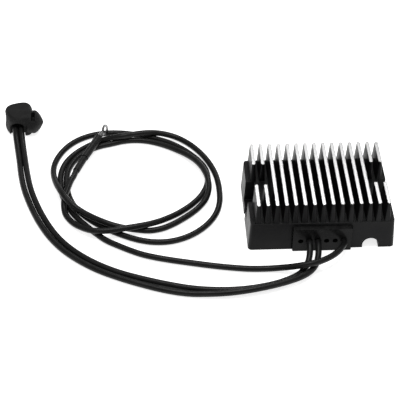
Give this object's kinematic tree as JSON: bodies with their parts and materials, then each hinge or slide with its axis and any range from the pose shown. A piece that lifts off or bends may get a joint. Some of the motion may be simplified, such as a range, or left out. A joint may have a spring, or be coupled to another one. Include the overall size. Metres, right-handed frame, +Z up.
{
  "type": "voltage regulator rectifier",
  "caption": "Finned black die-cast regulator rectifier lying on its mounting face, with three free leads, a right-angle rubber plug and a ring terminal.",
  "frame": {"origin": "middle of the footprint of the housing and its lead guide, on the mounting face (the plane it lies on)", "axes": "+X along the row of fins (the housing's length), -Y out through the face the leads leave by, +Z up through the fin tops"},
  "size_m": [0.346, 0.2526, 0.0485],
  "materials": {
    "black_coat": "semi-gloss black coat on die-cast aluminium, machined bare on the fin tops",
    "guide_plastic": "semi-gloss",
    "lead_jacket": "satin jacket",
    "boot_rubber": "matte moulded rubber",
    "shrink_tube": "satin",
    "tinned": "bright tin plate",
    "copper": "bare copper",
    "brass": "machined",
    "steel": "zinc plated",
    "epoxy": "cast epoxy",
    "board": "solder mask",
    "package": "moulded",
    "film": "smooth",
    "resistor": "lacquered",
    "nylon": "moulded"
  },
  "bodies": {
    "root": {"housing": "black_coat", "lead_guide": "guide_plastic", "lead_a": "lead_jacket", "lead_b": "lead_jacket", "lead_c": "lead_jacket", "lead_c_coil": "lead_jacket", "lead_c_end": "lead_jacket", "lead_a_tail": "lead_jacket", "lead_b_tail": "lead_jacket", "lead_c_tail": "lead_jacket", "lead_a_lug": "copper", "lead_b_lug": "copper", "lead_c_lug": "copper", "shrink_sleeve": "shrink_tube", "shrink_cuff": "shrink_tube", "ring_terminal": "tinned", "plug_boot": "boot_rubber", "plug_insert": "nylon", "contact_socket_a": "brass", "contact_socket_b": "brass", "circuit_board": "board", "thyristor_a": "package", "thyristor_b": "package", "diode_a": "package", "diode_b": "package", "driver_transistor_a": "package", "driver_transistor_b": "package", "gate_resistor_1": "resistor", "gate_resistor_2": "resistor", "gate_resistor_3": "resistor", "zener_diode": "package", "sense_capacitor": "package", "ground_screw": "steel", "ground_strap": "copper", "heat_spreader": "copper", "insulating_film": "film", "potting_compound": "epoxy"}
  },
  "joints": []
}
